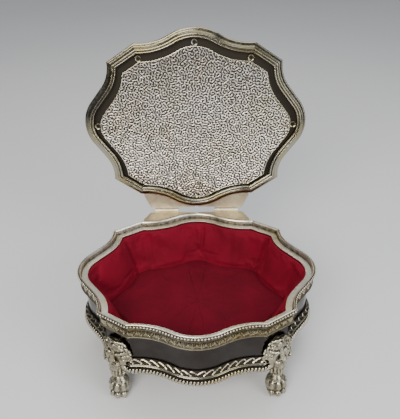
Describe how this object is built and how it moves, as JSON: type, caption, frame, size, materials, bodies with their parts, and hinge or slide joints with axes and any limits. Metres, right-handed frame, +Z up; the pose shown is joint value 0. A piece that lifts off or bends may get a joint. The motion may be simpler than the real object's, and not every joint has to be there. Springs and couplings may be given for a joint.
{
  "type": "footed trinket box",
  "caption": "Silver-plated trinket box on lion-mask paw feet, with a cartouche plan, beaded and leafy borders, a padded velvet lining and a hinged lid standing open.",
  "frame": {"origin": "on the table, under the centre of the open box's bounding box, 19.55 mm behind the centre of the four paws", "axes": "+Z up out of the box, -Y to the front, +X to the right; the hinges are at +Y"},
  "size_m": [0.1786, 0.1855, 0.2211],
  "materials": {
    "silver_plate": "polished silver plate over cast metal, lightly tarnished",
    "antique_casting": "antiqued silver plate, dark in the recesses",
    "antique_border": "antiqued silver plate on a fine raised border",
    "embossed_sheet": "silvered sheet with a fine scroll relief over a dark ground",
    "velvet": "deep red velvet over soft padding",
    "card": "grey board",
    "steel": "plain turned steel"
  },
  "bodies": {
    "body": {"rim_moulding": "silver_plate", "upper_bead_row": "antique_border", "upper_leaf_border": "antique_border", "body_frieze": "silver_plate", "lower_scroll_border": "antique_border", "base_moulding": "silver_plate", "base_bead_row": "antique_border", "base_plate": "silver_plate", "leg_front_left": "antique_casting", "leg_front_right": "antique_casting", "leg_rear_left": "antique_casting", "leg_rear_right": "antique_casting", "leg_screws": "steel", "leg_nuts": "steel", "lining_board": "card", "lining_floor_pad": "velvet", "lining_wall": "velvet", "body_hinge_leaf_left": "silver_plate", "body_hinge_leaf_right": "silver_plate", "hinge_pin_left": "steel", "hinge_pin_right": "steel"},
    "lid": {"lid_frame": "silver_plate", "lid_cover": "silver_plate", "lid_bead_row": "antique_border", "lid_inner_panel": "embossed_sheet", "lid_eyelets": "silver_plate", "lid_hinge_leaf_left": "silver_plate", "lid_hinge_leaf_right": "silver_plate"}
  },
  "joints": [
    {"name": "lid_hinge", "type": "hinge", "parent": "body", "child": "lid", "pos_m": [0, 0.05745, 0.073], "axis": [1, 0, 0], "range_deg": [0, 100]}
  ]
}
